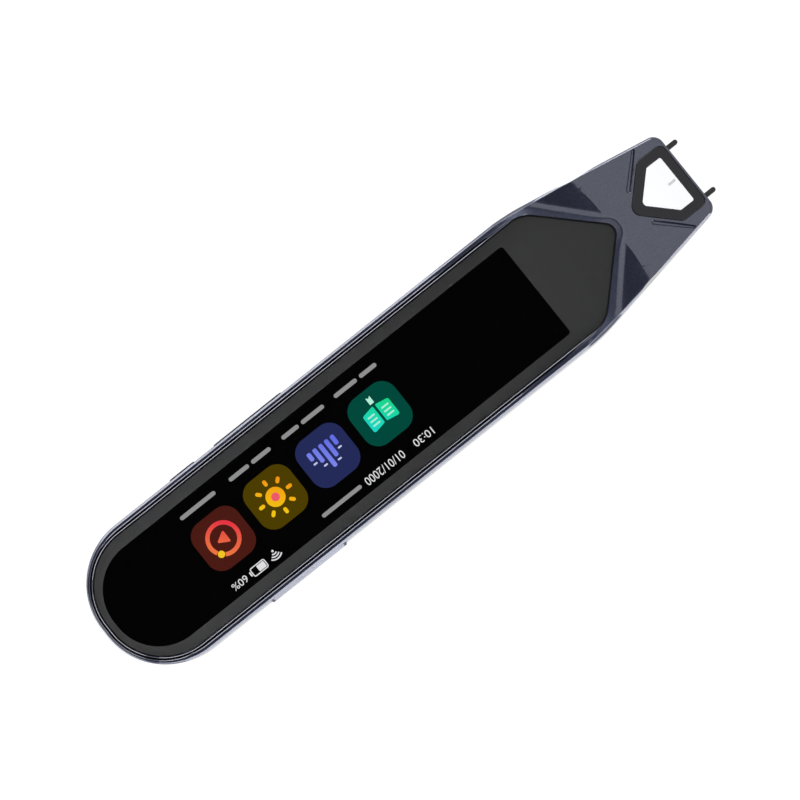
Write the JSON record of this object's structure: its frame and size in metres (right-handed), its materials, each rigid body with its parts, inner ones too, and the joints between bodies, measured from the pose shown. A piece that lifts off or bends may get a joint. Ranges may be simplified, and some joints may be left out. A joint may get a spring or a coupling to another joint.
{
  "type": "scanning pen",
  "caption": "Flat scanning pen with a long touch screen, a tapered nose with a see-through sight window, a sprung two-foot nib fork and side keys.",
  "frame": {"origin": "centre of the bounding box's lowest face, on the flat back of the pen", "axes": "+X from the rear end to the scanning tip, +Y to the side with the power and volume keys, +Z from the back to the screen"},
  "size_m": [0.1642, 0.035, 0.012],
  "materials": {
    "shell_paint": "satin metallic blue-grey paint",
    "frame_plastic": "fine matte",
    "fork_plastic": "matte",
    "key_plastic": "satin",
    "cover_glass": "clear gloss, printed dark behind",
    "clear_plastic": "clear gloss",
    "screen_panel": "gloss",
    "white_film": "satin",
    "glue": "matte",
    "cast_alloy": "as cast",
    "steel": "satin",
    "screw_steel": "dark zinc",
    "circuit_board": "solder mask",
    "chip_resin": "moulded resin",
    "flex_film": "film",
    "cell_foil": "laminated foil"
  },
  "bodies": {
    "body": {"front_frame": "shell_paint", "rear_cover": "shell_paint", "mid_chassis": "cast_alloy", "cover_glass": "cover_glass", "glass_adhesive": "glue", "display_panel": "screen_panel", "backlight": "white_film", "display_flex": "flex_film", "window_frame_front": "frame_plastic", "window_frame_back": "frame_plastic", "sight_lens_front": "clear_plastic", "sight_lens_back": "clear_plastic", "scan_window": "clear_plastic", "nib_switch": "chip_resin", "nose_board": "circuit_board", "camera_holder": "frame_plastic", "camera_board": "circuit_board", "image_sensor": "chip_resin", "camera_barrel": "frame_plastic", "camera_lens": "clear_plastic", "led_board": "circuit_board", "led_left": "white_film", "led_right": "white_film", "camera_flex": "flex_film", "power_switch": "steel", "volume_switch_rear": "steel", "volume_switch_front": "steel", "function_switch": "steel", "main_board": "circuit_board", "shield_can": "steel", "memory_chip": "chip_resin", "processor_chip": "chip_resin", "display_connector": "chip_resin", "camera_connector": "chip_resin", "battery_cell": "cell_foil", "battery_pad": "glue", "battery_board": "circuit_board", "speaker_mesh": "steel", "speaker_box": "frame_plastic", "vibration_motor": "steel", "wifi_antenna": "flex_film", "usb_board": "circuit_board", "usb_shell": "steel", "usb_tongue": "frame_plastic", "microphone": "steel", "screw_rear_right": "screw_steel", "screw_rear_left": "screw_steel", "screw_front_right": "screw_steel", "screw_front_left": "screw_steel", "screw_nose_right": "screw_steel", "screw_nose_left": "screw_steel"},
    "nib": {"nib_fork": "fork_plastic", "nib_plunger": "steel"},
    "power_key": {"power_key": "key_plastic"},
    "volume_key": {"volume_key": "key_plastic"},
    "function_key": {"function_key": "shell_paint"}
  },
  "joints": [
    {"name": "nib_press", "type": "slide", "parent": "body", "child": "nib", "axis": [-1, 0, 0], "range_m": [0, 0.0008], "stiffness_N_per_m": 600},
    {"name": "power_press", "type": "slide", "parent": "body", "child": "power_key", "axis": [0, -1, 0], "range_m": [0, 0.0003], "stiffness_N_per_m": 4000},
    {"name": "volume_rock", "type": "hinge", "parent": "body", "child": "volume_key", "pos_m": [-0.0293, 0.0152, 0.0066], "axis": [0, 0, 1], "range_deg": [-1.2, 1.2], "stiffness_Nm_per_rad": 0.35},
    {"name": "function_press", "type": "slide", "parent": "body", "child": "function_key", "axis": [0, 1, 0], "range_m": [0, 0.0003], "stiffness_N_per_m": 4000}
  ]
}
